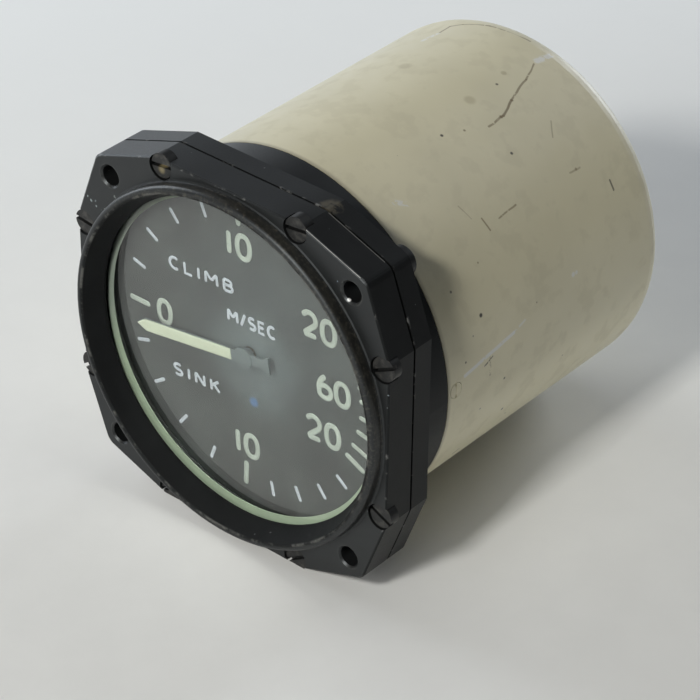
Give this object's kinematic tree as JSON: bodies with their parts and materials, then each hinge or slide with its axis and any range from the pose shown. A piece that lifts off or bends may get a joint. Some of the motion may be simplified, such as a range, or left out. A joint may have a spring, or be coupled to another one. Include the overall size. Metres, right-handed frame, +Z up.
{
  "type": "vertical speed indicator",
  "caption": "Round-cased aircraft vertical speed indicator with a square-cornered bolt-on flange, glazed dial, pointer and capsule movement driven through a sector gear.",
  "frame": {"origin": "centre of the flange's front face, on the axis of the dial and case", "axes": "+Y along the axis into the panel, from the dial to the rear of the case; +X right and +Z up for someone who faces the dial"},
  "size_m": [0.085, 0.1124, 0.085],
  "materials": {
    "black_enamel": "satin black enamel, worn bright at the edges",
    "blackened_steel": "blackened, worn",
    "clear_glass": "polished",
    "black_rubber": "matte",
    "pale_paint": "matte, pale green to white",
    "dial_black": "matte, faded to grey",
    "luminous_paint": "matte pale green, luminous",
    "gasket_fibre": "pressed fibre",
    "cream_enamel": "aged cream enamel",
    "brass": "satin",
    "steel": "bright",
    "blued_steel": "blued",
    "bronze_sheet": "springy bronze sheet",
    "copper_tube": "drawn"
  },
  "bodies": {
    "case_group": {"front_bezel": "black_enamel", "bezel_screws": "blackened_steel", "glass": "clear_glass", "glass_seal": "black_rubber", "dial_ring": "pale_paint", "dial": "dial_black", "flange_gasket": "gasket_fibre", "rear_flange": "black_enamel", "mounting_nuts": "blackened_steel", "case_can": "cream_enamel", "case_screws": "cream_enamel", "front_movement_plate": "brass", "movement_screws": "steel", "rear_movement_plate": "brass", "movement_pillars": "brass", "pillar_nuts": "steel", "front_bearings": "brass", "rear_bearings": "brass", "hairspring_stud": "brass", "rocking_brackets": "brass", "bracket_screws": "steel", "capsule_stem": "brass", "capsule_bridge": "brass", "bridge_pillars": "brass", "bridge_nuts": "steel", "pressure_tube": "copper_tube", "capillary_leak": "steel", "static_port": "brass", "port_washer": "black_rubber", "port_nut": "brass"},
    "pointer_group": {"pointer": "dial_black", "pointer_arbor": "steel", "pointer_pinion": "steel", "hairspring_collet": "brass", "hairspring": "blued_steel"},
    "sector_group": {"sector_gear": "brass", "sector_arbor": "steel"},
    "rocking_group": {"rocking_shaft": "steel", "sector_drive_arm": "brass", "capsule_arm": "brass"},
    "capsule_group": {"capsule_link": "steel", "front_diaphragm": "bronze_sheet", "rear_diaphragm": "bronze_sheet"}
  },
  "joints": [
    {"name": "sector_turn", "type": "hinge", "parent": "case_group", "child": "sector_group", "pos_m": [-0.02051, 0.0174, 0.00808], "axis": [0, 1, 0], "range_deg": [-18.5, 16.7]},
    {"name": "pointer_turn", "type": "hinge", "parent": "case_group", "child": "pointer_group", "pos_m": [0, 0.0054, 0], "axis": [0, 1, 0], "range_deg": [-167, 185], "deforming": ["hairspring"]},
    {"name": "shaft_rock", "type": "hinge", "parent": "case_group", "child": "rocking_group", "pos_m": [-0.02051, 0.0378, 0.00808], "axis": [1, 0, 0], "range_deg": [-6.15, 6.81]},
    {"name": "capsule_stroke", "type": "slide", "parent": "case_group", "child": "capsule_group", "axis": [0, 1, 0], "range_m": [-0.00087, 0.00096], "deforming": ["front_diaphragm", "rear_diaphragm"]}
  ],
  "couplings": [
    {"joint": "pointer_turn", "follows": "sector_turn", "ratio": -10},
    {"joint": "shaft_rock", "follows": "sector_turn", "ratio": -0.36765},
    {"joint": "capsule_stroke", "follows": "sector_turn", "m_per_rad": -0.0029697}
  ]
}
